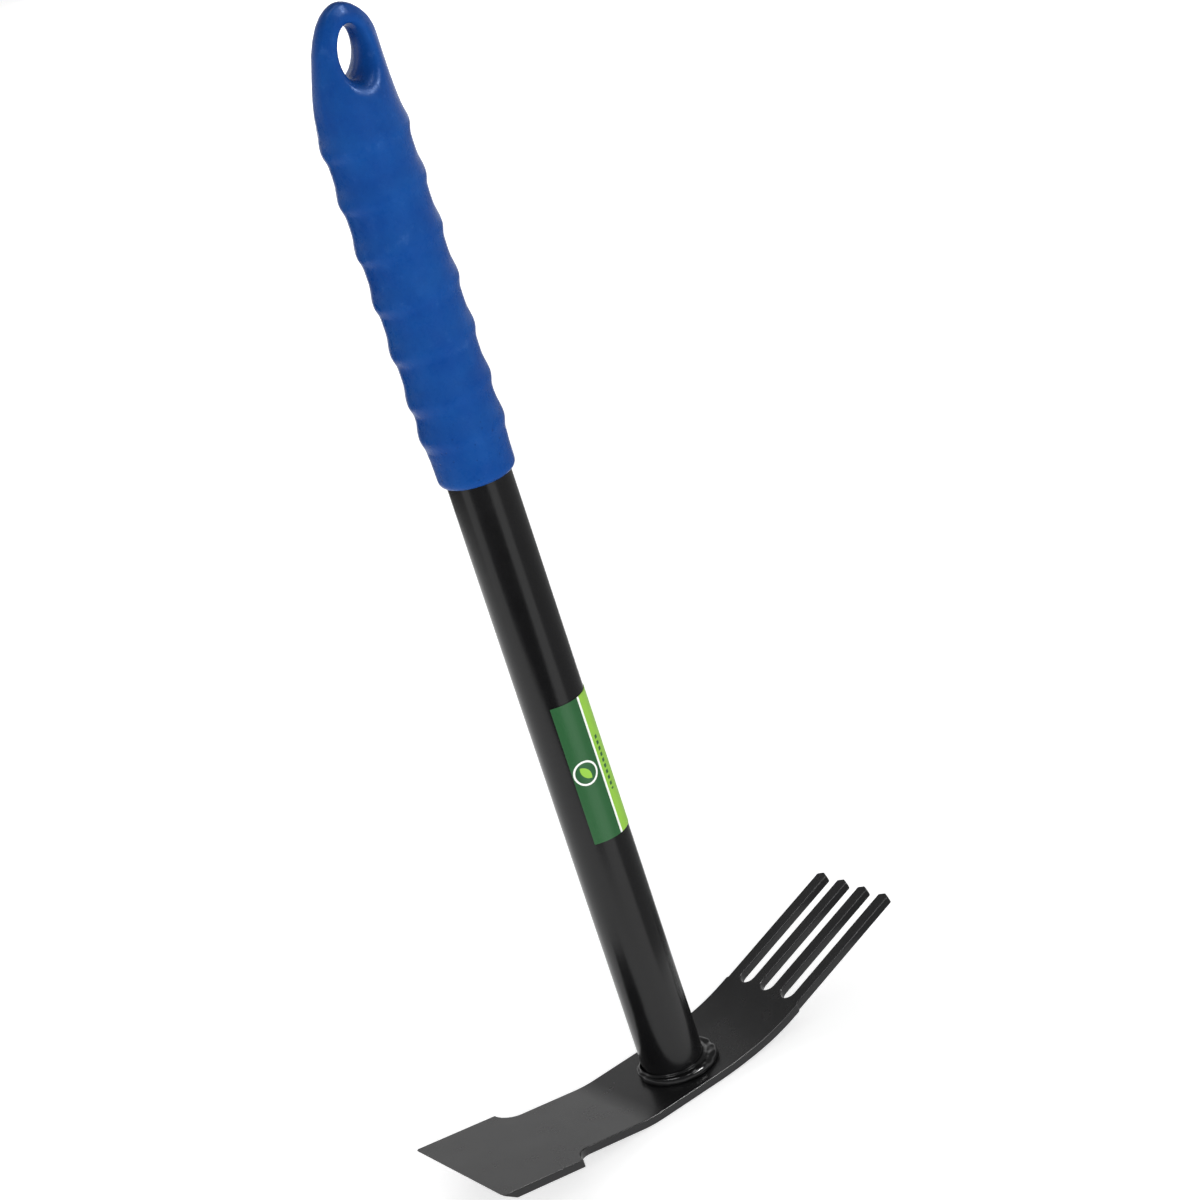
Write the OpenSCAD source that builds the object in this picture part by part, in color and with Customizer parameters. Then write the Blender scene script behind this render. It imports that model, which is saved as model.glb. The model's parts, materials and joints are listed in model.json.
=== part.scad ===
// Short-handled grub hoe: a stamped steel head with a blade at one end and four
// tines at the other, a steel tube welded upright on its middle, and a ribbed
// vinyl grip with a hanging eye pushed over the tube's top.
//
// Frame: origin on the tube's axis, on the flat underside of the head.
// +Z up the handle, +X towards the tines, -X towards the blade. Millimetres.

/* [Head] */
// Thickness of the steel plate
plate_t = 3; // [2:0.1:4]
// Reach of the blade's cutting edge from the tube's axis
blade_reach = 90.5; // [75:0.5:110]
// Reach of the tine tips from the tube's axis
tine_reach = 92; // [80:0.5:110]
// Width of the blade
blade_w = 54.4; // [44:0.2:70]
// Width of the plate under the tube
neck_w = 41; // [38:0.2:43]
// Distance from the tube's axis to the blade's shoulders
blade_shoulder = 58.4; // [50:0.2:66]
// Upward slope of the blade, in degrees
blade_slope = 9.6; // [0:0.1:20]
// Upward slope of the tines, in degrees
tine_slope = 18.3; // [10:0.1:25]
// Length of the bevel ground under the cutting edge
bevel_l = 5.5; // [2:0.1:10]

/* [Tines] */
// Spacing of the tines, centre to centre
tine_pitch = 11.6; // [10.5:0.1:12]
// Width of one tine
tine_w = 5; // [4:0.1:5.5]
// Height of the blunt point on each tine
tine_point = 1.2; // [0.5:0.1:3]

/* [Shaft] */
// Outer diameter of the tube
shaft_d = 22; // [20:0.5:24]
// Wall thickness of the tube
shaft_wall = 1.2; // [0.8:0.1:2]
// Length of the tube, from the head's top face
shaft_l = 345; // [300:1:345]
// Outer diameter of the weld bead where it meets the head
weld_d = 29.6; // [26:0.2:32]
// Height of the weld bead up the tube
weld_h = 2.5; // [1.5:0.1:4]

/* [Grip] */
// Height of the grip's lower end
grip_z = 229; // [200:1:240]
// Diameter of the plain cuff at the grip's lower end
cuff_d = 26.2; // [25.6:0.1:28]
// Diameter between ribs at the lowest rib
waist_d = 26.8; // [26:0.1:28]
// Diameter between ribs at the highest rib
crown_d = 27.9; // [27:0.1:29]
// Height of each rib above the surface between ribs
rib_h = 0.95; // [0.3:0.05:1.5]
// Spacing of the ribs
rib_pitch = 17.15; // [15:0.05:17.5]
// Width of the eye in the grip's end
eye_w = 8; // [6:0.2:9]
// Length of the eye in the grip's end
eye_l = 17.5; // [14:0.5:19]

/* [Label] */
// Height of the label's lower edge
label_z = 97; // [60:1:160]
// Height of the label itself
label_h = 51.3; // [30:0.1:60]
// Angle that the label covers around the tube
label_sweep = 129; // [90:1:150]
// Thickness of the label
label_t = 0.2; // [0.1:0.05:0.4]

/* [Hidden] */
$fn = 96;

// How far a cutting shape runs past what it cuts
over = 1;

black = "#1e1e20";
plate_grey = "#3c3c3e";
bead_black = "#141414";
vinyl_blue = "#1c4b94";
label_green = "#2f6b3c";

// Head, side view: stretches of the top face, each an arc or a straight line
blade_bend_r = 50;
flat_left = -21.5;
flat_right = 3;
rise_r = 150;
rise_slope = 5.4;
rise_run = 2.6;
tine_bend_r = 91;
arc_steps = 6;

// Head, plan view
blade_corner_r = 1.5;
shoulder_fillet_r = 6.4;
tine_count = 4;
tine_root = 42.4;
shoulder_step_r = 0.5;
slot_w = tine_pitch - tine_w;
tines_w = (tine_count - 1) * tine_pitch + tine_w;
cut_h = 60;

// Grip, heights above its lower end
cuff_edge_r = 2.6;
cuff_edge_step = 15;
cuff_top = 12;
rib_first = 17.9;
rib_second = 31.3;
rib_count = 7;
rib_half_w = 6.2;
barrel_h = 124;
barrel_step = 1.2;
crown_h = rib_second + (rib_count - 2) * rib_pitch;
rib_heights = concat([rib_first], [for (i = [0:rib_count - 2]) rib_second + i * rib_pitch]);

// Eye tab at the top of the grip: it leans a little towards the tines
tab_base_h = 126;
tab_foot_t = 8;
tab_lean = 10.8;
tab_top_r = 10.3;
tab_rim_r = 6;
tab_top_h = 24.9;
eye_x = 2.3;
eye_h = 143.3;
eye_lean = 15.5;
eye_flare = 3.5;

label_from = -129;

// Angle between the points that round the weld bead
bead_step = 10;

// Points of an arc that starts at p and turns from slope a to slope b, as [x, z, slope]
function bend(p, r, a, b) = [for (i = [0:arc_steps])
    let (s = a + (b - a) * i / arc_steps)
    [p[0] + r * (sin(s) - sin(a)), p[1] + r * (cos(a) - cos(s)), s]];

// The end of a straight line that starts at p with slope s and runs to x
function line_to(p, x, s) = [x, p[1] + (x - p[0]) * tan(s), s];

// Top face of the head from the blade's edge to the tine tips
blade_bend_start = [flat_left - blade_bend_r * sin(blade_slope),
    plate_t + blade_bend_r * (1 - cos(blade_slope))];
rise = bend([flat_right, plate_t], rise_r, 0, rise_slope);
rise_end = line_to(rise[arc_steps], rise[arc_steps][0] + rise_run, rise_slope);
tine_bend = bend(rise_end, tine_bend_r, rise_slope, tine_slope);
face = concat(
    [line_to(blade_bend_start, -blade_reach, -blade_slope)],
    bend(blade_bend_start, blade_bend_r, -blade_slope, 0),
    rise,
    tine_bend,
    [line_to(tine_bend[arc_steps], tine_reach, tine_slope)]);

// Underside of the head: the top face moved square to itself, with the bevel at the blade
function below(p) = [p[0] + plate_t * sin(p[2]), p[1] - plate_t * cos(p[2])];
bevel_start = below([face[0][0] + bevel_l * cos(blade_slope),
    face[0][1] - bevel_l * sin(blade_slope), -blade_slope]);
tine_start = face[len(face) - 2];

module head_side() {
    top = [for (p = face) [p[0], p[1]]];
    bottom = [for (i = [len(face) - 1:-1:1]) below(face[i])];
    polygon(concat(top, bottom, [bevel_start]));
}

// One side of the plan outline, from the cutting edge to the tines
function quarter(c, r, a, b) = [for (i = [0:arc_steps])
    let (t = a + (b - a) * i / arc_steps) [c[0] + r * cos(t), c[1] + r * sin(t)]];

half_plan = concat(
    quarter([-blade_reach + blade_corner_r, blade_w / 2 - blade_corner_r], blade_corner_r, 180, 90),
    [[-blade_shoulder, blade_w / 2]],
    quarter([-blade_shoulder + shoulder_fillet_r, neck_w / 2 + shoulder_fillet_r],
        shoulder_fillet_r, 180, 270),
    quarter([tine_root - shoulder_step_r, neck_w / 2 - shoulder_step_r], shoulder_step_r, 90, 0),
    [[tine_root, tines_w / 2], [tine_reach + cut_h, tines_w / 2]]);

module head_plan() {
    polygon(concat(half_plan,
        [for (i = [len(half_plan) - 1:-1:0]) [half_plan[i][0], -half_plan[i][1]]]));
}

// A round-ended slot between two tines, cut square to the tines
module tine_slot() {
    cylinder(h = cut_h, d = slot_w, center = true);
    translate([0, -slot_w / 2, -cut_h / 2]) cube([tine_reach, slot_w, cut_h]);
}

// What is cut away in front of one tine to leave its blunt point
module tine_point_cut() {
    linear_extrude(height = cut_h, center = true)
        polygon([[0, 0], [-tine_point, tine_w / 2], [-tine_point, tine_pitch],
            [cut_h, tine_pitch], [cut_h, -tine_pitch], [-tine_point, -tine_pitch],
            [-tine_point, -tine_w / 2]]);
}

module head() {
    slot_x = (tine_root + slot_w / 2 - tine_start[0]) / cos(tine_slope);
    tip_x = (tine_reach - tine_start[0]) / cos(tine_slope);
    color(plate_grey)
        difference() {
            intersection() {
                rotate([90, 0, 0]) linear_extrude(height = blade_w + 2 * over, center = true) head_side();
                translate([0, 0, -over]) linear_extrude(height = cut_h) head_plan();
            }
            translate([tine_start[0], 0, tine_start[1]]) rotate([0, -tine_slope, 0]) {
                for (i = [-1:1]) translate([slot_x, i * tine_pitch, 0]) tine_slot();
                for (i = [0:tine_count - 1])
                    translate([tip_x, (i - (tine_count - 1) / 2) * tine_pitch, 0])
                        intersection() {
                            tine_point_cut();
                            cube([cut_h, (tine_w + tine_pitch) / 2, cut_h], center = true);
                        }
            }
        }
}

module shaft() {
    color(black)
        translate([0, 0, plate_t])
            difference() {
                cylinder(h = shaft_l, d = shaft_d);
                translate([0, 0, -over])
                    cylinder(h = shaft_l + 2 * over, d = shaft_d - 2 * shaft_wall);
            }
}

module weld_bead() {
    reach = (weld_d - shaft_d) / 2;
    color(bead_black)
        translate([0, 0, plate_t])
            rotate_extrude()
                polygon(concat([[shaft_d / 2, 0]], [for (a = [0:bead_step:90])
                    [shaft_d / 2 + reach * cos(a), weld_h * sin(a)]]));
}

// Radius of the grip at height h: a straight taper with a rounded rib at each rib height
function rib_at(h, top) =
    abs(h - top) < rib_half_w ? rib_h * pow(cos(90 * (h - top) / rib_half_w), 2) : 0;
function ribs(h, i = 0) = i == rib_count ? 0 : rib_at(h, rib_heights[i]) + ribs(h, i + 1);
function taper(h) = h < cuff_top ? cuff_d / 2
    : waist_d / 2 + (crown_d - waist_d) / 2 * (h - cuff_top) / (crown_h - cuff_top);

module grip_barrel() {
    edge = [for (a = [-90:cuff_edge_step:0]) [cuff_d / 2 - cuff_edge_r + cuff_edge_r * cos(a),
        cuff_edge_r + cuff_edge_r * sin(a)]];
    side = [for (h = [cuff_top - over:barrel_step:barrel_h]) [taper(h) + ribs(h), h]];
    rotate_extrude() polygon(concat([[0, 0]], edge, side, [[0, side[len(side) - 1][1]]]));
}

// Disc with a round rim, lying flat
module round_disc(r, rim_r) {
    rotate_extrude($fn = 40)
        intersection() {
            translate([r - rim_r, 0]) circle(r = rim_r, $fn = 24);
            translate([0, -rim_r]) square([r, 2 * rim_r]);
        }
}

// Flattened end of the grip, from the barrel's top to a rounded tip
module grip_tab() {
    hull() {
        translate([0, 0, tab_base_h - tab_foot_t])
            cylinder(h = tab_foot_t, d = crown_d, $fn = 48);
        translate([0, 0, barrel_h]) rotate([0, tab_lean, 0]) translate([0, 0, tab_top_h])
            rotate([90, 0, 0]) round_disc(tab_top_r, tab_rim_r);
    }
}

// One half of a round-ended slot along Z, that widens from its middle outwards
module half_slot(w, straight, depth, flare) {
    for (s = [-1, 1]) translate([0, s * straight / 2, 0])
        cylinder(h = depth, r1 = w / 2, r2 = w / 2 + flare);
    rotate([90, 0, 0]) linear_extrude(height = straight, center = true)
        polygon([[-w / 2, 0], [w / 2, 0], [w / 2 + flare, depth], [-w / 2 - flare, depth]]);
}

module eye() {
    translate([eye_x, 0, eye_h]) rotate([0, eye_lean, 0])
        for (side = [-1, 1]) rotate([side * 90, 0, 0])
            half_slot(eye_w, eye_l - eye_w, crown_d / 2, eye_flare);
}

module grip() {
    color(vinyl_blue)
        translate([0, 0, grip_z])
            difference() {
                union() {
                    grip_barrel();
                    grip_tab();
                }
                translate([0, 0, -over])
                    cylinder(h = plate_t + shaft_l - grip_z + over, d = shaft_d);
                eye();
            }
}

module label() {
    color(label_green)
        rotate([0, 0, label_from])
            rotate_extrude(angle = label_sweep)
                translate([shaft_d / 2, label_z]) square([label_t, label_h]);
}

head();
shaft();
weld_bead();
grip();
label();
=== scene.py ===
"""Looks of a short grub hoe: head, tube, weld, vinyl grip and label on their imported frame.

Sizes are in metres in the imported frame: the origin is on the tube's axis under the head,
+Z runs up the handle, +X towards the tines and -X towards the blade.
"""

import json
import math

import bmesh
import bpy
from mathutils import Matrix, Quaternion, Vector

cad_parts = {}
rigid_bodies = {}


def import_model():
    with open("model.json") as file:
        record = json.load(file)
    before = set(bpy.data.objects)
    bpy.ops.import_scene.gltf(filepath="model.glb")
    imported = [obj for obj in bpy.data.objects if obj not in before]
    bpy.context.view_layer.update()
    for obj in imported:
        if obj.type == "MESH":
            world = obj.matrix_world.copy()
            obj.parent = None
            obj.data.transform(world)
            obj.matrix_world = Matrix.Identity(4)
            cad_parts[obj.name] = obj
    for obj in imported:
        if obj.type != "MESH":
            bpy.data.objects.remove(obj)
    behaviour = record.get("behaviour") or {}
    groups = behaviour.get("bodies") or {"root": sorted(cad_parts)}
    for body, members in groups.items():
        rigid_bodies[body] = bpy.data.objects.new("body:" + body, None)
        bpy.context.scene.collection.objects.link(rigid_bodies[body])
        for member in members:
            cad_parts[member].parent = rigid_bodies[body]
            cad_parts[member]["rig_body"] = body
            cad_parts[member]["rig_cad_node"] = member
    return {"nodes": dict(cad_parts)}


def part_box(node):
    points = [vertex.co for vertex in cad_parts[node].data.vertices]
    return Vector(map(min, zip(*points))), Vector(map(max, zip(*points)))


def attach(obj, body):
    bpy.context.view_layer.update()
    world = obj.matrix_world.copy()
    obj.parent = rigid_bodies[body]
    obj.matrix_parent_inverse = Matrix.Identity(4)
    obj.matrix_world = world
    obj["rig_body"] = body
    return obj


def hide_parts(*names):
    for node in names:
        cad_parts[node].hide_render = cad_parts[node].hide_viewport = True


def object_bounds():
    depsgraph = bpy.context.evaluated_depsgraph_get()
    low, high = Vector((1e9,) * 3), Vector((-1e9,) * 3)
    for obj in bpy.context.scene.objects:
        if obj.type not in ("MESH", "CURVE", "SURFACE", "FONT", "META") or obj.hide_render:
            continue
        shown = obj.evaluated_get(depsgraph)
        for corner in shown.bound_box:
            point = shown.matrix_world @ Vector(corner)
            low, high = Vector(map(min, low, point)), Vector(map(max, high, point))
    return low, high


bl_info = {
    "name": "Grub hoe",
    "version": (1, 0, 0),
    "blender": (4, 5, 0),
    "location": "View3D > Sidebar > Grub hoe",
    "description": "Models the pieces of a grub hoe on its packed frame",
    "category": "Add Mesh",
}

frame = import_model()
CAD_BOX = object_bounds()
MM = 0.001
SNAP = 0.001 * MM

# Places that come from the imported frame
TUBE_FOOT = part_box("shaft")[0].z
TUBE_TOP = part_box("shaft")[1].z
TUBE_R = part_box("shaft")[1].x
GRIP_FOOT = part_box("grip")[0].z
LABEL_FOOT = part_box("label")[0].z
LABEL_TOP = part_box("label")[1].z

# Grip: heights above its lower end, as in the part
LOW_RIB = 17.9 * MM
SECOND_RIB = 31.3 * MM
RIB_PITCH = 17.15 * MM
RIB_HEIGHTS = [LOW_RIB] + [SECOND_RIB + RIB_PITCH * step for step in range(6)]
CUFF_EDGE_R = 2.6 * MM
CUFF_EDGE_STEP = 15
CUFF_TOP = 12 * MM
BARREL_TOP = 124 * MM
BARREL_SEGMENTS = 96
RING_STEP = 1.2 * MM
TILT_MARGIN = 3 * MM

# Flattened end of the grip, in mm: height, centre along X, half width along X, half width along Y
TAB_STATIONS = [
    (124.0, 0.0, 13.95, 13.95),
    (129.0, 0.25, 13.75, 13.05),
    (135.0, 1.00, 13.20, 11.35),
    (141.0, 2.05, 12.35, 9.65),
    (147.0, 3.10, 11.45, 8.15),
    (151.0, 3.65, 10.00, 7.10),
    (154.3, 3.80, 7.95, 5.95),
    (156.8, 3.90, 5.60, 4.50),
    (158.3, 4.00, 3.40, 2.85),
    (159.1, 4.05, 1.20, 1.00),
]
TAB_STEP = 1.0
TIP_FROM = 152.0
TIP_STEP = 0.5

# Hanging eye, and its cutter in mm from its middle outwards: distance, half width, reach above
# and reach below
EYE_X = 2.6 * MM
EYE_HEIGHT = 143.8 * MM
EYE_LEAN = math.radians(15.5)
EYE_SEGMENTS = 64
EYE_STATIONS = [
    (1.0, 4.05, 8.5, 8.4),
    (2.0, 4.20, 8.6, 8.5),
    (3.0, 4.45, 8.8, 8.8),
    (4.5, 5.00, 9.2, 9.3),
    (6.0, 5.70, 9.7, 9.9),
    (7.2, 6.00, 9.9, 9.9),
    (8.5, 6.40, 10.2, 10.2),
    (10.0, 6.95, 10.8, 10.7),
    (12.0, 7.80, 11.7, 11.8),
    (14.5, 9.00, 13.0, 13.4),
]

# Skin of the grip: mesh size, passes that take the mesh's steps out, and passes that melt the
# eye's flare into both faces, from this height and from this far either side of the middle
SKIN_VOXEL = 0.5 * MM
SKIN_PASSES = 6
MELT_PASSES = 280
MELT_FROM = GRIP_FOOT + BARREL_TOP - 4 * MM
MELT_BEYOND = 3.2 * MM

# Head: turn past which an edge is rounded, and the ground strip along the blade that stays sharp
SHARP_TURN = math.radians(24)
GROUND_STRIP = 1.4 * MM

TUBE_SEGMENTS = 128

# Weld bead, in mm: radius beyond the tube and height above the plate. Its outside lies a little
# to one side, and what is above the crest swells into puddles.
WELD_STATIONS = [
    (0.15, 3.00),
    (0.50, 2.90),
    (0.75, 2.40),
    (1.10, 2.25),
    (1.75, 2.45),
    (2.40, 2.20),
    (2.85, 1.50),
    (3.05, 0.65),
    (3.05, -0.05),
]
WELD_SEGMENTS = 120
WELD_SINK = 0.15 * MM
WELD_SHIFT = Vector((0.85, -1.47, 0)) * MM
WELD_CREST = 1.5 * MM

# Print on the label: a leaf in a ring on the wide field, and a row of ticks on the band
LABEL_SEGMENTS = 64
RING_OFFSET = 6 * MM
RING_R = 4.1 * MM
RING_LINE = 0.7 * MM
LEAF_ARC_R = 3.6 * MM
LEAF_SPREAD = 2.2 * MM
LEAF_LEAN = 0.6
TICK_OFFSET = 2.7 * MM
TICK_LENGTH = 1.4 * MM
TICK_ROW = 21 * MM
TICK_PITCH = 2.2 * MM
TICK_W = 1.3 * MM

# Stage: floor, and the camera's aim from the middle of the object
FLOOR_SIZE = 14
FLOOR_DROP = 0.2 * MM
CARD_LIFT = 0.5 * MM
AIM_SHIFT = Vector((27.5, 0, -24)) * MM
SENSOR_WIDTH = 36

# Cards on the floor: colour, reach to the near end and length in metres, and middle headings
# and half widths in degrees
CARDS = {
    "core_flag": ("#080808", 0.22, 0.9, (-122, -133), (10, 33)),
    "side_flag": ("#bcbcbc", 0.10, 1.5, (-18, -14), (48, 58)),
    "eye_flag": ("#202020", 0.62, 3.5, (127, 127), (40, 40)),
}

# Lights: place, aim, sides, watts, and which rays don't see it. Lights for gloss and for colour
# are kept apart, so that each can be set without the other.
LIGHTS = {
    "overhead": ((0.1, 0.25, 2.3), (0.1, 0.25, 0), (1.7, 0.5), 20, "visible_diffuse"),
    "right_spark": ((1.2, -1.3, 2.1), (0, 0, 0.2), (0.4, 0.4), 44, "visible_diffuse"),
    "edge_strip": ((0.8, -1.1, 2.2), (0, 0, 0.1), (1.7, 0.35), 24, "visible_diffuse"),
    "front_fill": ((-0.6, -2.3, 0.7), (0, 0, 0.2), (1.5, 1.5), 23, "visible_glossy"),
    "back_fill": ((0.9, 2.2, 1.0), (0, 0, 0.2), (1.5, 1.5), 18, "visible_glossy"),
}


def linear(hex_colour):
    """Linear RGBA of an sRGB hex colour."""
    channels = [int(hex_colour[i : i + 2], 16) / 255 for i in (1, 3, 5)]
    turned = [c / 12.92 if c <= 0.04045 else ((c + 0.055) / 1.055) ** 2.4 for c in channels]
    return (*turned, 1.0)


def per_metre(millimetres):
    """Texture scale that gives a pattern of that size on Object coordinates."""
    return 1000.0 / millimetres


def add_node(tree, kind, inputs=None, **settings):
    """Adds a node, sets its properties, and sets each input or links it to a socket."""
    made = tree.nodes.new(kind)
    for name, value in settings.items():
        setattr(made, name, value)
    for name, value in (inputs or {}).items():
        if isinstance(value, bpy.types.NodeSocket):
            tree.links.new(value, made.inputs[name])
        else:
            made.inputs[name].default_value = value
    return made


def new_material(name):
    """An empty node material and its tree."""
    made = bpy.data.materials.new(name)
    made.use_nodes = True
    made.node_tree.nodes.clear()
    return made, made.node_tree


class GripSettings(bpy.types.PropertyGroup):
    """Sizes and colour of the vinyl grip."""

    cuff_r: bpy.props.FloatProperty(
        name="Cuff radius",
        description="Radius of the plain cuff at the lower end",
        default=13.1 * MM,
        unit="LENGTH",
    )
    waist_r: bpy.props.FloatProperty(
        name="Waist radius",
        description="Radius between ribs at the lowest rib",
        default=13.4 * MM,
        unit="LENGTH",
    )
    crown_r: bpy.props.FloatProperty(
        name="Crown radius",
        description="Radius between ribs at the highest rib",
        default=13.95 * MM,
        unit="LENGTH",
    )
    rib_h: bpy.props.FloatProperty(
        name="Rib height",
        description="Height of each rib above the surface between ribs",
        default=0.95 * MM,
        unit="LENGTH",
    )
    rib_rise: bpy.props.FloatProperty(
        name="Rib rise",
        description="Length of the steep lower flank of a rib",
        default=4.6 * MM,
        unit="LENGTH",
    )
    rib_fall: bpy.props.FloatProperty(
        name="Rib fall",
        description="Length of the long upper flank of a rib",
        default=7.6 * MM,
        unit="LENGTH",
    )
    rib_tilt: bpy.props.FloatProperty(
        name="Rib tilt",
        description="Tilt of every rib above the first one",
        default=math.radians(4.5),
        unit="ROTATION",
    )
    eye_w: bpy.props.FloatProperty(
        name="Eye width",
        description="Width of the hanging eye at its throat",
        default=8.4 * MM,
        unit="LENGTH",
    )
    eye_l: bpy.props.FloatProperty(
        name="Eye length",
        description="Length of the hanging eye at its throat",
        default=16.8 * MM,
        unit="LENGTH",
    )
    vinyl: bpy.props.FloatVectorProperty(
        name="Vinyl",
        description="Colour of the vinyl",
        subtype="COLOR",
        size=4,
        default=linear("#10448c"),
    )
    bloom: bpy.props.FloatVectorProperty(
        name="Chalky blue",
        description="Colour of the chalky patches on the vinyl",
        default=linear("#4a74b4"),
        size=4,
        subtype="COLOR",
    )
    # Painted shade: this darker blue is painted into the bottoms of the vinyl's air pits, as the
    # shade that falls in them.
    shade: bpy.props.FloatVectorProperty(
        name="Pit blue",
        description="Colour at the bottom of the pits in the vinyl",
        default=linear("#021f4e"),
        size=4,
        subtype="COLOR",
    )


class HeadSettings(bpy.types.PropertyGroup):
    """Finish of the steel head."""

    edge_r: bpy.props.FloatProperty(
        name="Edge radius",
        description="Radius that paint and tumbling leave on each edge",
        default=0.4 * MM,
        unit="LENGTH",
    )
    paint: bpy.props.FloatVectorProperty(
        name="Paint",
        description="Colour of the head's enamel",
        subtype="COLOR",
        size=4,
        default=linear("#1a1a1b"),
    )


class TubeSettings(bpy.types.PropertyGroup):
    """Sizes and finish of the tube and its weld."""

    wall: bpy.props.FloatProperty(
        name="Wall",
        description="Wall thickness of the tube",
        default=1.2 * MM,
        unit="LENGTH",
    )
    lobes: bpy.props.IntProperty(
        name="Weld lobes",
        description="Number of overlapping puddles around the weld",
        default=9,
    )
    paint: bpy.props.FloatVectorProperty(
        name="Paint",
        description="Colour of the tube's enamel",
        subtype="COLOR",
        size=4,
        default=linear("#121213"),
    )


class LabelSettings(bpy.types.PropertyGroup):
    """Sizes and colours of the printed label."""

    start: bpy.props.FloatProperty(
        name="Start",
        description="Angle around the tube where the label starts",
        default=math.radians(-129),
        unit="ROTATION",
    )
    sweep: bpy.props.FloatProperty(
        name="Sweep",
        description="Angle that the label covers",
        default=math.radians(129),
        unit="ROTATION",
    )
    line_at: bpy.props.FloatProperty(
        name="Line",
        description="Angle of the white line between the two fields",
        default=math.radians(-73.7),
        unit="ROTATION",
    )
    line_w: bpy.props.FloatProperty(
        name="Line width",
        description="Width of the white line",
        default=0.9 * MM,
        unit="LENGTH",
    )
    thickness: bpy.props.FloatProperty(
        name="Thickness",
        description="Thickness of the film",
        default=0.2 * MM,
        unit="LENGTH",
    )
    field: bpy.props.FloatVectorProperty(
        name="Field",
        description="Colour of the wide field",
        subtype="COLOR",
        size=4,
        default=linear("#225a2f"),
    )
    band: bpy.props.FloatVectorProperty(
        name="Band",
        description="Colour of the band beyond the line",
        subtype="COLOR",
        size=4,
        default=linear("#8fc43c"),
    )


class StageSettings(bpy.types.PropertyGroup):
    """Floor, lights and camera."""

    distance: bpy.props.FloatProperty(
        name="Distance",
        description="Distance from the camera to its target",
        default=1.1439,
        unit="LENGTH",
    )
    azimuth: bpy.props.FloatProperty(
        name="Azimuth",
        description="Heading of the view, clockwise from +Y",
        default=math.radians(29.65),
        unit="ROTATION",
    )
    elevation: bpy.props.FloatProperty(
        name="Elevation",
        description="Angle that the camera looks down",
        default=math.radians(21.15),
        unit="ROTATION",
    )
    roll: bpy.props.FloatProperty(
        name="Roll",
        description="Turn of the picture about the view's axis",
        default=math.radians(17.97),
        unit="ROTATION",
    )
    lens: bpy.props.FloatProperty(
        name="Lens",
        description="Focal length on a 36 mm sensor, in millimetres",
        default=103.25,
    )
    floor: bpy.props.FloatVectorProperty(
        name="Floor",
        description="Colour of the floor",
        subtype="COLOR",
        size=4,
        default=linear("#f4f4f4"),
    )


def start_clean():
    """Back to object mode with nothing selected."""
    if bpy.context.object is not None and bpy.context.object.mode != "OBJECT":
        bpy.ops.object.mode_set(mode="OBJECT")
    bpy.ops.object.select_all(action="DESELECT")


def make_active(obj):
    """Selects this object alone."""
    start_clean()
    obj.select_set(True)
    bpy.context.view_layer.objects.active = obj


def new_ring(name, radius, height, segments):
    """A flat circle around the tube's axis, left in edit mode with all of it selected."""
    start_clean()
    bpy.ops.mesh.primitive_circle_add(
        vertices=segments, radius=radius, location=(0, 0, height)
    )
    made = bpy.context.object
    made.name = name
    bpy.ops.object.transform_apply(location=True, rotation=True, scale=True)
    bpy.ops.object.mode_set(mode="EDIT")
    bpy.ops.mesh.select_all(action="SELECT")
    return made


def grow_ring(centre, move, scale):
    """Extrudes the selected loop by move, then scales it about its new centre."""
    bpy.ops.mesh.extrude_region_move(TRANSFORM_OT_translate={"value": move})
    bpy.ops.transform.resize(value=scale, center_override=centre)


def pick(obj, kind, wanted):
    """Selects the vertices, edges or faces of a mesh in edit mode that wanted accepts."""
    mesh = bmesh.from_edit_mesh(obj.data)
    for item in (*mesh.verts, *mesh.edges, *mesh.faces):
        item.select_set(False)
    for item in getattr(mesh, kind):
        if wanted(item):
            item.select_set(True)
    bmesh.update_edit_mesh(obj.data)


def bridge_open_ends():
    """Joins the two open loops of a ring-shaped mesh."""
    bpy.ops.mesh.select_all(action="DESELECT")
    bpy.ops.mesh.select_mode(type="EDGE")
    bpy.ops.mesh.select_non_manifold()
    bpy.ops.mesh.bridge_edge_loops()
    bpy.ops.mesh.select_mode(type="VERT")


def close_and_turn_out():
    """Merges doubles and turns every face outwards, then leaves edit mode."""
    bpy.ops.mesh.select_all(action="SELECT")
    bpy.ops.mesh.remove_doubles(threshold=0.005 * MM)
    bpy.ops.mesh.normals_make_consistent(inside=False)
    bpy.ops.object.mode_set(mode="OBJECT")


def apply_modifier(obj, kind, **settings):
    """Adds a modifier, sets it and applies it."""
    made = obj.modifiers.new(kind.title(), kind)
    for name, value in settings.items():
        setattr(made, name, value)
    bpy.context.view_layer.objects.active = obj
    bpy.ops.object.modifier_apply(modifier=made.name)


def cut_with(obj, cutter):
    """Cuts the cutter's solid out of the object and removes the cutter."""
    make_active(obj)
    apply_modifier(obj, "BOOLEAN", operation="DIFFERENCE", solver="EXACT", object=cutter)
    bpy.data.objects.remove(cutter)


def hand_over(obj, material, slot, angle, *nodes):
    """Smooths and paints a finished piece and puts it in its CAD nodes' place."""
    make_active(obj)
    bpy.ops.object.shade_smooth_by_angle(angle=angle)
    obj.data.materials.clear()
    obj.data.materials.append(material)
    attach(obj, "root")
    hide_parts(*nodes)


def smooth_between(stations, at):
    """Values at a place between stations, on one smooth curve through all of them."""
    last = len(stations) - 1
    i = max(k for k in range(last) if stations[k][0] <= at or k == 0)
    before, start, end, after = (stations[min(max(k, 0), last)] for k in range(i - 1, i + 3))
    t = (at - start[0]) / (end[0] - start[0])
    values = []
    for a, b, c, d in zip(before[1:], start[1:], end[1:], after[1:]):
        values.append(
            0.5 * (2 * b + (c - a) * t + (2 * a - 5 * b + 4 * c - d) * t**2)
            + 0.5 * (3 * b - 3 * c + d - a) * t**3
        )
    return values


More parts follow.
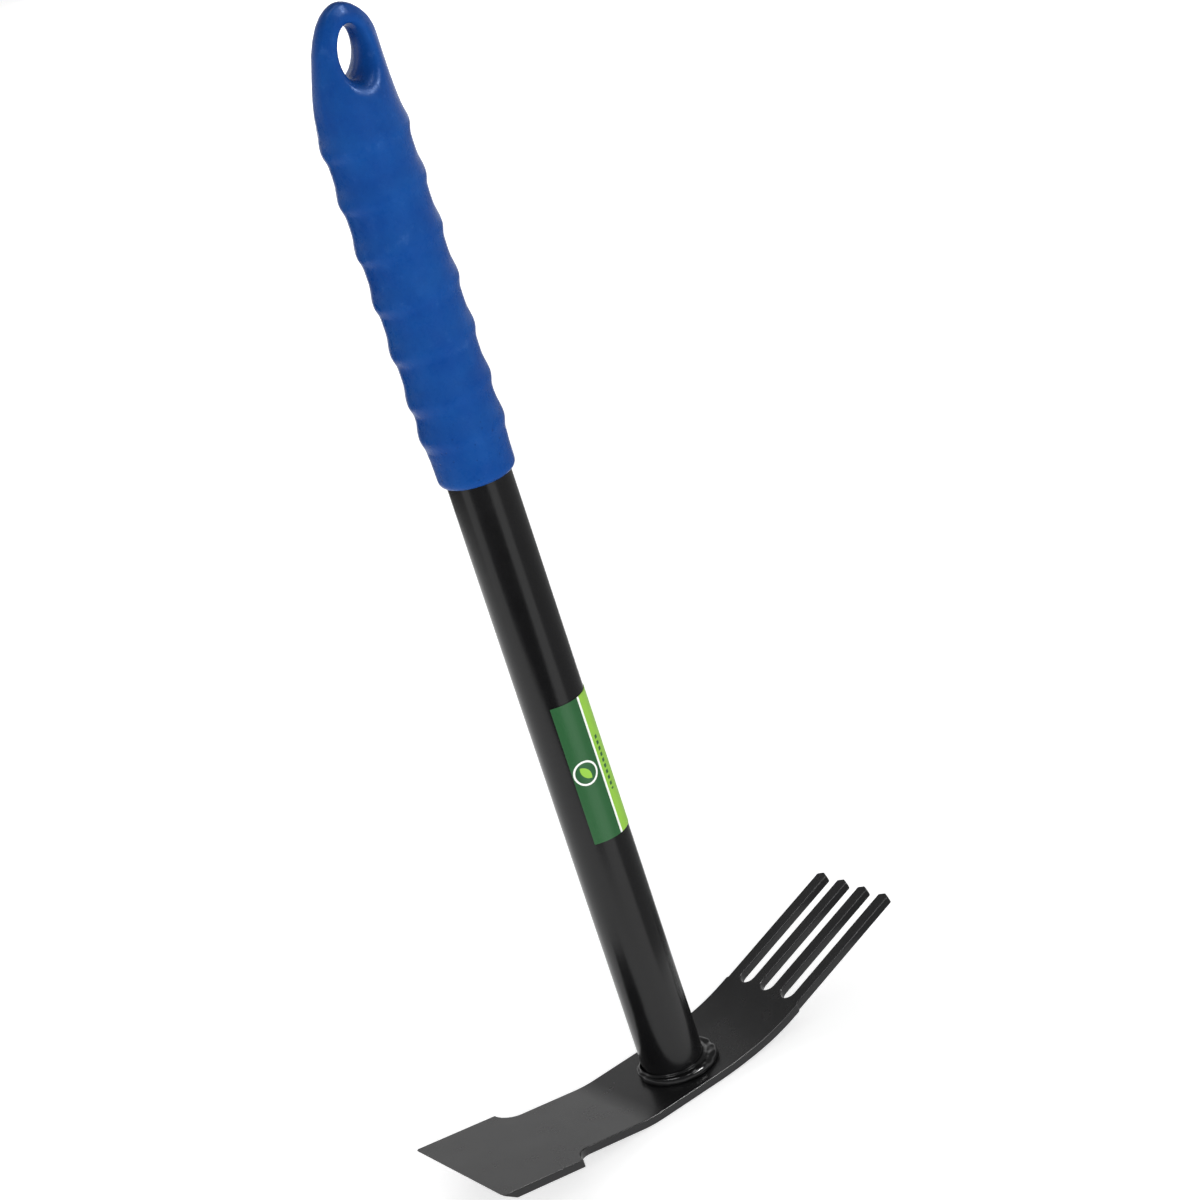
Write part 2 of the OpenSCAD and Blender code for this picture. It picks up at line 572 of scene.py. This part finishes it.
def barrel_radius(sizes, height):
    """Radius of the ribbed barrel at a height above the grip's lower end."""
    share = max(0.0, (height - CUFF_TOP) / (RIB_HEIGHTS[-1] - CUFF_TOP))
    radius = sizes.waist_r + (sizes.crown_r - sizes.waist_r) * share
    if height < CUFF_TOP:
        radius = sizes.cuff_r + (sizes.waist_r - sizes.cuff_r) * (height / CUFF_TOP) ** 4
    for top in RIB_HEIGHTS:
        flank = sizes.rib_rise if height < top else sizes.rib_fall
        off = abs(height - top) / flank
        if off < 1:
            radius += sizes.rib_h * math.cos(math.pi / 2 * off) ** 2
    return radius


def vinyl_noise(tree, place):
    """Noise patterns of the vinyl by name, each with its size in millimetres. The real grain is
    finer, and is drawn just coarse enough to show."""
    noise = {}
    for name, millimetres, detail, roughness in (
        ("clouds", 11, 4.0, 0.6),
        ("chalk", 6, 9.0, 0.72),
        ("gloss", 2.2, 6.0, 0.65),
        ("grain", 1.1, 4.0, 0.6),
    ):
        noise[name] = add_node(
            tree,
            "ShaderNodeTexNoise",
            {
                "Vector": place,
                "Scale": per_metre(millimetres),
                "Detail": detail,
                "Roughness": roughness,
            },
        ).outputs["Fac"]
    return noise


def vinyl_shares(tree, place, noise):
    """What each pattern of the vinyl gives, from where it starts to where it ends: the share of
    chalk, the air pits 2.6 mm apart, how far up they reach, and the roughness."""
    height = add_node(tree, "ShaderNodeSeparateXYZ", {"Vector": place}).outputs["Z"]
    cells = add_node(
        tree,
        "ShaderNodeTexVoronoi",
        {"Vector": place, "Scale": per_metre(2.6), "Randomness": 1.0},
    )
    share = {}
    for name, value, start, end, at_start, at_end in (
        ("chalk", noise["chalk"], 0.58, 0.8, 0.0, 0.4),
        ("hole", cells.outputs["Distance"], 0.07, 0.17, 1.0, 0.0),
        ("low_end", height, GRIP_FOOT + 16 * MM, GRIP_FOOT + 34 * MM, 1.0, 0.1),
        ("roughness", noise["gloss"], 0.35, 0.65, 0.2, 0.42),
    ):
        share[name] = add_node(
            tree,
            "ShaderNodeMapRange",
            {
                "Value": value,
                "From Min": start,
                "From Max": end,
                "To Min": at_start,
                "To Max": at_end,
            },
        ).outputs["Result"]
    return share


def vinyl_material(sizes):
    """Plasticised PVC, moulded over the tube: a satin blue skin with cloudy, slightly chalky
    patches, a fine uneven grain and small air pits in its lowest end, with painted shade in their
    bottoms."""
    made, tree = new_material("moulded_plasticised_pvc")
    place = add_node(tree, "ShaderNodeTexCoord").outputs["Object"]
    noise = vinyl_noise(tree, place)
    share = vinyl_shares(tree, place, noise)
    tone = add_node(tree, "ShaderNodeValToRGB", {"Fac": noise["clouds"]})
    for element, position, gains in zip(
        tone.color_ramp.elements, (0.32, 0.68), ((0.8, 0.86, 0.93), (1.3, 1.16, 1.06))
    ):
        element.position = position
        element.color = (*(c * gain for c, gain in zip(sizes.vinyl, gains)), 1)
    chalky = add_node(
        tree,
        "ShaderNodeMixRGB",
        {"Fac": share["chalk"], "Color1": tone.outputs["Color"], "Color2": sizes.bloom},
    ).outputs["Color"]
    pits = add_node(
        tree, "ShaderNodeMath", {0: share["hole"], 1: share["low_end"]}, operation="MULTIPLY"
    ).outputs[0]
    # Painted shade: the bottoms of the air pits are mixed towards the pit shade colour.
    shading = add_node(tree, "ShaderNodeMath", {0: pits, 1: 0.45}, operation="MULTIPLY")
    colour = add_node(
        tree,
        "ShaderNodeMixRGB",
        {"Fac": shading.outputs[0], "Color1": chalky, "Color2": sizes.shade},
    )
    relief = add_node(tree, "ShaderNodeMath", {0: noise["grain"], 1: pits}, operation="SUBTRACT")
    skin = add_node(
        tree,
        "ShaderNodeBump",
        {"Height": relief.outputs[0], "Strength": 0.6, "Distance": 0.12 * MM},
    )
    shader = add_node(
        tree,
        "ShaderNodeBsdfPrincipled",
        {
            "Base Color": colour.outputs["Color"],
            "Roughness": share["roughness"],
            "IOR": 1.42,
            "Specular IOR Level": 0.2,
            "Specular Tint": linear("#aacbff"),
            "Normal": skin.outputs["Normal"],
        },
    )
    add_node(tree, "ShaderNodeOutputMaterial", {"Surface": shader.outputs["BSDF"]})
    return made


def enamel_material(name, paint, roughness, peel_mm, peel):
    """Black stoving enamel: dark and glossy, with a faint orange peel in its reflections and
    slightly duller patches."""
    made, tree = new_material(name)
    place = add_node(tree, "ShaderNodeTexCoord").outputs["Object"]
    waves = add_node(
        tree, "ShaderNodeTexNoise", {"Vector": place, "Scale": per_metre(peel_mm), "Detail": 2.0}
    )
    skin = add_node(
        tree,
        "ShaderNodeBump",
        {"Height": waves.outputs["Fac"], "Strength": peel, "Distance": 0.1 * MM},
    )
    haze = add_node(
        tree,
        "ShaderNodeTexNoise",
        {"Vector": place, "Scale": per_metre(14), "Detail": 5.0, "Roughness": 0.6},
    )
    dullness = add_node(
        tree,
        "ShaderNodeMapRange",
        {
            "Value": haze.outputs["Fac"],
            "From Min": 0.3,
            "From Max": 0.7,
            "To Min": roughness * 0.85,
            "To Max": roughness * 1.2,
        },
    )
    shader = add_node(
        tree,
        "ShaderNodeBsdfPrincipled",
        {
            "Base Color": tuple(paint),
            "Roughness": dullness.outputs["Result"],
            "IOR": 1.42,
            "Normal": skin.outputs["Normal"],
        },
    )
    add_node(tree, "ShaderNodeOutputMaterial", {"Surface": shader.outputs["BSDF"]})
    return made


def label_print(tree, place, sizes):
    """Colour of the label's inks, drawn on the film as if it were rolled out flat."""
    parts = add_node(tree, "ShaderNodeSeparateXYZ", {"Vector": place})
    up = parts.outputs["Z"]
    turn = add_node(
        tree, "ShaderNodeMath", {0: parts.outputs["Y"], 1: parts.outputs["X"]}, operation="ARCTAN2"
    )
    radius = TUBE_R + sizes.thickness
    along = add_node(
        tree, "ShaderNodeMath", {0: turn.outputs[0], 1: radius}, operation="MULTIPLY"
    ).outputs[0]
    flat = add_node(tree, "ShaderNodeCombineXYZ", {"X": along, "Y": up}).outputs[0]
    line_at = sizes.line_at * radius
    middle = Vector((line_at - RING_OFFSET, (LABEL_FOOT + LABEL_TOP) / 2, 0))
    reach = add_node(
        tree, "ShaderNodeVectorMath", {0: flat, 1: middle}, operation="DISTANCE"
    ).outputs["Value"]
    beyond = add_node(tree, "ShaderNodeMath", {0: along, 1: line_at}, operation="GREATER_THAN")
    band = {}
    for name, value, centre, width in (
        ("line", along, line_at, sizes.line_w),
        ("ring", reach, RING_R, RING_LINE),
        ("tick_row", along, line_at + TICK_OFFSET, TICK_LENGTH),
        ("tick_span", up, middle.y, TICK_ROW),
    ):
        band[name] = add_node(
            tree, "ShaderNodeMath", {0: value, 1: centre, 2: width / 2}, operation="COMPARE"
        ).outputs[0]
    wave = add_node(tree, "ShaderNodeMath", {0: up, 1: TICK_PITCH / 2}, operation="PINGPONG")
    ticks = add_node(
        tree, "ShaderNodeMath", {0: wave.outputs[0], 1: TICK_W / 2}, operation="LESS_THAN"
    ).outputs[0]
    for limit in (band["tick_row"], band["tick_span"]):
        ticks = add_node(
            tree, "ShaderNodeMath", {0: ticks, 1: limit}, operation="MULTIPLY"
        ).outputs[0]
    lean = Vector((math.cos(LEAF_LEAN), math.sin(LEAF_LEAN), 0)) * LEAF_SPREAD
    leaf = 1.0
    for centre in (middle - lean, middle + lean):
        off = add_node(tree, "ShaderNodeVectorMath", {0: flat, 1: centre}, operation="DISTANCE")
        inside = add_node(
            tree, "ShaderNodeMath", {0: off.outputs["Value"], 1: LEAF_ARC_R}, operation="LESS_THAN"
        )
        leaf = add_node(
            tree, "ShaderNodeMath", {0: leaf, 1: inside.outputs[0]}, operation="MULTIPLY"
        ).outputs[0]
    white = linear("#f2f4ef")
    colour = tuple(sizes.field)
    for mask, ink in (
        (beyond.outputs[0], tuple(sizes.band)),
        (ticks, tuple(sizes.field)),
        (band["line"], white),
        (band["ring"], white),
        (leaf, tuple(sizes.band)),
    ):
        colour = add_node(
            tree, "ShaderNodeMixRGB", {"Fac": mask, "Color1": colour, "Color2": ink}
        ).outputs["Color"]
    return colour


def film_material(sizes):
    """Printed polypropylene film: flat inks under a smooth semi-gloss face."""
    made, tree = new_material("printed_polypropylene_film")
    place = add_node(tree, "ShaderNodeTexCoord").outputs["Object"]
    waves = add_node(
        tree, "ShaderNodeTexNoise", {"Vector": place, "Scale": per_metre(5), "Detail": 2.0}
    )
    skin = add_node(
        tree,
        "ShaderNodeBump",
        {"Height": waves.outputs["Fac"], "Strength": 0.1, "Distance": 0.1 * MM},
    )
    shader = add_node(
        tree,
        "ShaderNodeBsdfPrincipled",
        {
            "Base Color": label_print(tree, place, sizes),
            "Roughness": 0.32,
            "IOR": 1.49,
            "Normal": skin.outputs["Normal"],
        },
    )
    add_node(tree, "ShaderNodeOutputMaterial", {"Surface": shader.outputs["BSDF"]})
    return made


class HOE_OT_grip(bpy.types.Operator):
    """Vinyl grip with seven ribs and a flattened end with a hanging eye"""

    bl_idname = "hoe.grip"
    bl_label = "Grip"

    def execute(self, context):
        sizes = context.scene.hoe_grip
        grip = new_ring("grip_shell", sizes.cuff_r - CUFF_EDGE_R, GRIP_FOOT, BARREL_SEGMENTS)
        bpy.ops.mesh.edge_face_add()
        radius, height = self.grow_barrel(sizes)
        self.grow_tab(radius, height)
        bpy.ops.mesh.edge_face_add()
        close_and_turn_out()
        cut_with(grip, self.eye_cutter(sizes))
        make_active(grip)
        apply_modifier(grip, "REMESH", mode="VOXEL", voxel_size=SKIN_VOXEL)
        apply_modifier(grip, "SMOOTH", factor=0.5, iterations=SKIN_PASSES)
        self.soften_tab(grip)
        cut_with(grip, self.bore_cutter())
        hand_over(grip, vinyl_material(sizes), "blue_vinyl", math.radians(50), "grip")
        return {"FINISHED"}

    def grow_barrel(self, sizes):
        """Grows the rounded lower edge and the ribbed barrel, and gives the last ring's radius
        and height. Every ring above the lowest rib is tilted, by turns shared out below the
        second one."""
        radius, height = sizes.cuff_r - CUFF_EDGE_R, 0.0
        rings = []
        for degrees in range(CUFF_EDGE_STEP, 91, CUFF_EDGE_STEP):
            turn = math.radians(degrees)
            up = CUFF_EDGE_R * (1 - math.cos(turn))
            rings.append((up, radius + CUFF_EDGE_R * math.sin(turn)))
        length = BARREL_TOP - CUFF_EDGE_R
        steps = int(length / RING_STEP)
        for step in range(1, steps + 1):
            at = CUFF_EDGE_R + step * length / steps
            rings.append((at, barrel_radius(sizes, at)))
        tilt_from, tilt_to = LOW_RIB + TILT_MARGIN, SECOND_RIB - TILT_MARGIN
        tilting = [at for at, _ in rings if tilt_from < at < tilt_to]
        share = sizes.rib_tilt * math.sqrt(0.5) / len(tilting)
        for at, new_radius in rings:
            centre = (0, 0, GRIP_FOOT + at)
            ratio = new_radius / radius
            grow_ring(centre, (0, 0, at - height), (ratio, ratio, 1))
            if at in tilting:
                for axis in ("X", "Y"):
                    bpy.ops.transform.rotate(value=share, orient_axis=axis, center_override=centre)
            radius, height = new_radius, at
        return radius, height

    def grow_tab(self, radius, height):
        """Grows the flattened end from the barrel's last ring, whose tilt it keeps."""
        half_x = half_y = radius
        middle = 0.0
        at, top = TAB_STATIONS[0][0], TAB_STATIONS[-1][0]
        while at < top:
            at = min(top, at + (TAB_STEP if at < TIP_FROM else TIP_STEP))
            new_middle, new_x, new_y = (v * MM for v in smooth_between(TAB_STATIONS, at))
            grow_ring(
                (new_middle, 0, GRIP_FOOT + at * MM),
                (new_middle - middle, 0, at * MM - height),
                (new_x / half_x, new_y / half_y, new_x / half_x),
            )
            middle, half_x, half_y, height = new_middle, new_x, new_y, at * MM

    def soften_tab(self, grip):
        """Melts the eye's flare into both faces, as soft vinyl leaves its mould. The eye's throat
        only gets the last passes, which take out the step between them."""
        bpy.ops.object.mode_set(mode="EDIT")
        pick(grip, "verts", lambda v: v.co.z > MELT_FROM and abs(v.co.y) > MELT_BEYOND)
        bpy.ops.object.vertex_group_add()
        bpy.ops.object.vertex_group_assign()
        bpy.ops.object.mode_set(mode="OBJECT")
        flare = grip.vertex_groups[0].name
        apply_modifier(grip, "SMOOTH", factor=0.5, iterations=MELT_PASSES, vertex_group=flare)
        bpy.ops.object.vertex_group_remove(all=True)
        apply_modifier(grip, "SMOOTH", factor=0.5, iterations=SKIN_PASSES)

    def eye_cutter(self, sizes):
        """A solid that widens from the eye's throat to both faces of the grip."""
        width, above, below, out = sizes.eye_w / 2, sizes.eye_l / 2, sizes.eye_l / 2, 0.0
        cutter = new_ring("eye_cutter", width, 0, EYE_SEGMENTS)
        bpy.ops.transform.resize(value=(1, above / width, 1), center_override=(0, 0, 0))
        bpy.ops.mesh.edge_face_add()
        for station in EYE_STATIONS:
            at, new_w, new_above, new_below = (value * MM for value in station)
            stretch = (new_above + new_below) / (above + below)
            shift = (new_above - new_below) / 2 - (above - below) / 2
            centre = (0, (new_above - new_below) / 2, at)
            grow_ring(centre, (0, shift, at - out), (new_w / width, stretch, 1))
            width, above, below, out = new_w, new_above, new_below, at
        bpy.ops.object.mode_set(mode="OBJECT")
        apply_modifier(
            cutter,
            "MIRROR",
            use_axis=(False, False, True),
            use_mirror_merge=True,
            merge_threshold=0.01 * MM,
        )
        bpy.ops.object.mode_set(mode="EDIT")
        pick(
            cutter,
            "faces",
            lambda f: abs(f.calc_center_median().z) < SNAP and abs(f.normal.z) > 0.9,
        )
        bpy.ops.mesh.delete(type="ONLY_FACE")
        close_and_turn_out()
        cutter.rotation_euler = (math.radians(90), 0, 0)
        bpy.ops.object.transform_apply(location=False, rotation=True, scale=False)
        cutter.rotation_euler = (0, EYE_LEAN, 0)
        cutter.location = (EYE_X, 0, GRIP_FOOT + EYE_HEIGHT)
        bpy.ops.object.transform_apply(location=True, rotation=True, scale=False)
        return cutter

    def bore_cutter(self):
        """A rod that fills the tube's place inside the grip."""
        below = 2 * MM
        rod = new_ring("bore_cutter", TUBE_R, GRIP_FOOT - below, BARREL_SEGMENTS)
        bpy.ops.mesh.edge_face_add()
        rise = TUBE_TOP - GRIP_FOOT + below
        bpy.ops.mesh.extrude_region_move(TRANSFORM_OT_translate={"value": (0, 0, rise)})
        close_and_turn_out()
        return rod


class HOE_OT_head(bpy.types.Operator):
    """Stamped steel head with its edges rounded by tumbling and paint"""

    bl_idname = "hoe.head"
    bl_label = "Head"

    def execute(self, context):
        sizes = context.scene.hoe_head
        make_active(frame["nodes"]["head"])
        bpy.ops.object.duplicate()
        head = bpy.context.object
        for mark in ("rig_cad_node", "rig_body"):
            if mark in head:
                del head[mark]
        head.parent = None
        head.name = "head_plate"
        bpy.ops.object.mode_set(mode="EDIT")
        bpy.ops.mesh.select_all(action="SELECT")
        bpy.ops.mesh.remove_doubles(threshold=0.002 * MM)
        bpy.ops.mesh.dissolve_limited(angle_limit=math.radians(0.3))
        ground_edge = CAD_BOX[0].x + GROUND_STRIP
        pick(
            head,
            "edges",
            lambda e: e.is_manifold
            and e.calc_face_angle() > SHARP_TURN
            and min(v.co.x for v in e.verts) > ground_edge,
        )
        bpy.ops.mesh.bevel(offset=sizes.edge_r, segments=3, clamp_overlap=False)
        bpy.ops.object.mode_set(mode="OBJECT")
        paint = enamel_material(
            "stoving_enamel_on_plate", sizes.paint, roughness=0.24, peel_mm=1.3, peel=0.025
        )
        hand_over(head, paint, "head_paint", math.radians(40), "head")
        apply_modifier(head, "WEIGHTED_NORMAL", mode="FACE_AREA", weight=100, keep_sharp=True)
        return {"FINISHED"}


class HOE_OT_tube(bpy.types.Operator):
    """Welded steel tube, open inside"""

    bl_idname = "hoe.tube"
    bl_label = "Tube"

    def execute(self, context):
        sizes = context.scene.hoe_tube
        inner = (TUBE_R - sizes.wall) / TUBE_R
        length = TUBE_TOP - TUBE_FOOT
        tube = new_ring("handle_tube", TUBE_R, TUBE_FOOT, TUBE_SEGMENTS)
        bpy.ops.mesh.extrude_region_move(TRANSFORM_OT_translate={"value": (0, 0, length)})
        grow_ring((0, 0, TUBE_TOP), (0, 0, 0), (inner, inner, 1))
        bpy.ops.mesh.extrude_region_move(TRANSFORM_OT_translate={"value": (0, 0, -length)})
        bridge_open_ends()
        close_and_turn_out()
        paint = enamel_material(
            "stoving_enamel_on_tube", sizes.paint, roughness=0.2, peel_mm=2.2, peel=0.08
        )
        hand_over(tube, paint, "tube_paint", math.radians(40), "shaft")
        return {"FINISHED"}


class HOE_OT_weld(bpy.types.Operator):
    """Weld bead with overlapping puddles under thick enamel"""

    bl_idname = "hoe.weld"
    bl_label = "Weld"

    def execute(self, context):
        sizes = context.scene.hoe_tube
        inner_r = TUBE_R - WELD_SINK
        outermost, height = WELD_STATIONS[-1][0], WELD_STATIONS[0][1]
        weld = new_ring("weld_puddles", inner_r, TUBE_FOOT + height * MM, WELD_SEGMENTS)
        radius, shift = inner_r, Vector()
        for out, up in WELD_STATIONS:
            new_radius = TUBE_R + out * MM
            new_shift = WELD_SHIFT * out / outermost
            centre = new_shift + Vector((0, 0, TUBE_FOOT + up * MM))
            move = new_shift - shift + Vector((0, 0, (up - height) * MM))
            ratio = new_radius / radius
            grow_ring(centre, move, (ratio, ratio, 1))
            radius, height, shift = new_radius, up, new_shift
        ratio = inner_r / radius
        grow_ring((0, 0, TUBE_FOOT + height * MM), -shift, (ratio, ratio, 1))
        bridge_open_ends()
        self.push_puddles(weld, sizes.lobes)
        close_and_turn_out()
        apply_modifier(weld, "SUBSURF", levels=1, render_levels=1)
        clouds = bpy.data.textures.new("weld_ripple", "CLOUDS")
        clouds.noise_scale = 5 * MM
        apply_modifier(
            weld,
            "DISPLACE",
            texture=clouds,
            texture_coords="LOCAL",
            strength=0.3 * MM,
            mid_level=0.5,
        )
        paint = enamel_material(
            "thick_enamel_on_weld", sizes.paint, roughness=0.12, peel_mm=2.5, peel=0.15
        )
        hand_over(weld, paint, "bead_paint", math.radians(80), "weld_bead")
        return {"FINISHED"}

    def push_puddles(self, weld, lobes):
        """Swells the bead's crest into puddles. A hand-laid weld has none quite even, so slow
        sines vary their spacing and their size."""
        crest = TUBE_FOOT + WELD_CREST
        crest_r = TUBE_R + WELD_CREST
        for lobe in range(lobes):
            turn = (lobe + 0.28 * math.sin(2.4 * lobe)) * 2 * math.pi / lobes
            out = Vector((math.cos(turn), math.sin(turn)))
            pick(
                weld,
                "verts",
                lambda v: v.co.z > crest
                and (v.co - WELD_SHIFT).xy.length > crest_r
                and v.co.xy.normalized().dot(out) > 0.985,
            )
            push = (0.4 + 0.35 * math.sin(1.7 * lobe + 1)) * MM
            bpy.ops.transform.translate(
                value=(push * out.x, push * out.y, 0.5 * push),
                use_proportional_edit=True,
                proportional_edit_falloff="SMOOTH",
                proportional_size=3 * MM,
            )


class HOE_OT_label(bpy.types.Operator):
    """Printed film label wrapped around the tube"""

    bl_idname = "hoe.label"
    bl_label = "Label"

    def execute(self, context):
        sizes = context.scene.hoe_label
        start_clean()
        bpy.ops.mesh.primitive_plane_add(size=1, location=(0, 0, 0))
        label = bpy.context.object
        label.name = "wrap_label"
        label.scale = (sizes.thickness, LABEL_TOP - LABEL_FOOT, 1)
        label.rotation_euler = (math.radians(90), 0, 0)
        bpy.ops.object.transform_apply(location=False, rotation=True, scale=True)
        label.location = (TUBE_R + sizes.thickness / 2, 0, (LABEL_FOOT + LABEL_TOP) / 2)
        bpy.ops.object.transform_apply(location=True, rotation=False, scale=False)
        label.rotation_euler = (0, 0, sizes.start)
        bpy.ops.object.transform_apply(location=False, rotation=True, scale=False)
        bpy.ops.object.mode_set(mode="EDIT")
        bpy.ops.mesh.select_all(action="SELECT")
        bpy.ops.mesh.spin(
            steps=LABEL_SEGMENTS,
            angle=-sizes.sweep,
            center=(0, 0, 0),
            axis=(0, 0, 1),
            use_auto_merge=False,
        )
        close_and_turn_out()
        hand_over(label, film_material(sizes), "label_film", math.radians(40), "label")
        return {"FINISHED"}


class HOE_OT_stage(bpy.types.Operator):
    """Pale floor, soft lights and the camera"""

    bl_idname = "hoe.stage"
    bl_label = "Stage"

    def execute(self, context):
        sizes = context.scene.hoe_stage
        start_clean()
        bpy.ops.mesh.primitive_plane_add(size=FLOOR_SIZE, location=(0, 0, -FLOOR_DROP))
        floor = context.object
        floor.name = "floor"
        floor.data.materials.append(self.floor_paint(sizes))
        for name, facts in CARDS.items():
            self.card(name, *facts)
        context.scene.world = self.studio_walls()
        for name, facts in LIGHTS.items():
            self.soft_light(name, *facts)
        self.place_camera(context, sizes)
        context.scene.view_settings.view_transform = "Standard"
        return {"FINISHED"}

    def floor_paint(self, sizes):
        """Matt white paint, lit a little from within so that the floor stays pale."""
        made, tree = new_material("matt_white_floor")
        shader = add_node(
            tree,
            "ShaderNodeBsdfPrincipled",
            {
                "Base Color": tuple(sizes.floor),
                "Roughness": 0.9,
                "Specular IOR Level": 0.0,
                "Emission Color": linear("#ffffff"),
                "Emission Strength": 0.6,
            },
        )
        add_node(tree, "ShaderNodeOutputMaterial", {"Surface": shader.outputs["BSDF"]})
        return made

    def card(self, name, paint, start, length, headings, spreads):
        """A fan of card on the floor that only reflections see, to darken them where it lies.

        Its middle heading and its half width, in degrees, go from the first value near the
        tube to the second one a third of the way out.
        """
        start_clean()
        bpy.ops.mesh.primitive_plane_add(size=1, location=(0, 0, 0))
        made = bpy.context.object
        made.name = name
        bpy.ops.object.mode_set(mode="EDIT")
        bpy.ops.mesh.subdivide(number_cuts=5)
        mesh = bmesh.from_edit_mesh(made.data)
        for vert in mesh.verts:
            out = vert.co.x + 0.5
            bend = min(1, out * 3)
            reach = start + length * out
            middle = headings[0] + (headings[1] - headings[0]) * bend
            half = spreads[0] + (spreads[1] - spreads[0]) * bend
            turn = math.radians(middle + half * 2 * vert.co.y)
            vert.co = (reach * math.cos(turn), reach * math.sin(turn), CARD_LIFT)
        bmesh.update_edit_mesh(made.data)
        bpy.ops.object.mode_set(mode="OBJECT")
        finish, tree = new_material(name + "_card")
        shader = add_node(
            tree,
            "ShaderNodeBsdfPrincipled",
            {"Base Color": linear(paint), "Roughness": 1.0, "Specular IOR Level": 0.0},
        )
        add_node(tree, "ShaderNodeOutputMaterial", {"Surface": shader.outputs["BSDF"]})
        made.data.materials.append(finish)
        made.visible_camera = False
        made.visible_shadow = False
        made.visible_diffuse = False
        return made

    def studio_walls(self):
        """Pale walls up to eye height and a dark ceiling."""
        world = bpy.data.worlds.new("studio")
        world.use_nodes = True
        tree = world.node_tree
        place = add_node(tree, "ShaderNodeTexCoord").outputs["Generated"]
        height = add_node(tree, "ShaderNodeSeparateXYZ", {"Vector": place})
        walls = add_node(
            tree,
            "ShaderNodeMapRange",
            {
                "Value": height.outputs["Z"],
                "From Min": math.sin(math.radians(18)),
                "From Max": math.sin(math.radians(36)),
                "To Min": 0.95,
                "To Max": 0.25,
            },
            interpolation_type="SMOOTHSTEP",
        )
        background = tree.nodes["Background"]
        background.inputs["Color"].default_value = linear("#ffffff")
        tree.links.new(walls.outputs["Result"], background.inputs["Strength"])
        return world

    def soft_light(self, name, place, aim, sides, power, unseen_by):
        """A rectangular soft light that looks at a point and leaves one kind of ray alone."""
        facing = (Vector(aim) - Vector(place)).to_track_quat("-Z", "Y")
        bpy.ops.object.light_add(type="AREA", location=place, rotation=facing.to_euler())
        made = bpy.context.object
        made.name = name
        made.data.shape = "RECTANGLE"
        made.data.size, made.data.size_y = sides
        made.data.energy = power
        setattr(made, unseen_by, False)

    def place_camera(self, context, sizes):
        """The scene's camera, turned about its own axis as the settings say."""
        target = (CAD_BOX[0] + CAD_BOX[1]) / 2 + AIM_SHIFT
        ahead = Vector(
            (
                math.sin(sizes.azimuth) * math.cos(sizes.elevation),
                math.cos(sizes.azimuth) * math.cos(sizes.elevation),
                -math.sin(sizes.elevation),
            )
        )
        facing = ahead.to_track_quat("-Z", "Y") @ Quaternion((0, 0, 1), -sizes.roll)
        bpy.ops.object.camera_add(
            location=target - ahead * sizes.distance, rotation=facing.to_euler()
        )
        camera = context.object
        camera.data.lens = sizes.lens
        camera.data.sensor_width = SENSOR_WIDTH
        camera.data.clip_start = 0.05
        camera.data.clip_end = 60
        context.scene.camera = camera


class HOE_PT_pieces(bpy.types.Panel):
    """Lists the pieces of the grub hoe"""

    bl_idname = "HOE_PT_pieces"
    bl_label = "Grub hoe"
    bl_space_type = "VIEW_3D"
    bl_region_type = "UI"
    bl_category = "Grub hoe"

    def draw(self, context):
        for operator in OPERATORS:
            self.layout.operator(operator.bl_idname)
        for name in SETTINGS:
            group = getattr(context.scene, name)
            box = self.layout.box()
            for prop in group.bl_rna.properties:
                if prop.identifier not in ("rna_type", "name"):
                    box.prop(group, prop.identifier)


OPERATORS = (HOE_OT_stage, HOE_OT_head, HOE_OT_weld, HOE_OT_tube, HOE_OT_label, HOE_OT_grip)
SETTINGS = {
    "hoe_grip": GripSettings,
    "hoe_head": HeadSettings,
    "hoe_tube": TubeSettings,
    "hoe_label": LabelSettings,
    "hoe_stage": StageSettings,
}


def register():
    """Registers the settings, the operators and the panel."""
    for name, group in SETTINGS.items():
        bpy.utils.register_class(group)
        setattr(bpy.types.Scene, name, bpy.props.PointerProperty(type=group))
    for operator in OPERATORS:
        bpy.utils.register_class(operator)
    bpy.utils.register_class(HOE_PT_pieces)


def unregister():
    """Takes back what register did."""
    bpy.utils.unregister_class(HOE_PT_pieces)
    for operator in reversed(OPERATORS):
        bpy.utils.unregister_class(operator)
    for name, group in SETTINGS.items():
        delattr(bpy.types.Scene, name)
        bpy.utils.unregister_class(group)


def main():
    """Makes every piece."""
    register()
    bpy.ops.hoe.stage()
    bpy.ops.hoe.head()
    bpy.ops.hoe.weld()
    bpy.ops.hoe.tube()
    bpy.ops.hoe.label()
    bpy.ops.hoe.grip()
    start_clean()


if __name__ == "__main__":
    main()
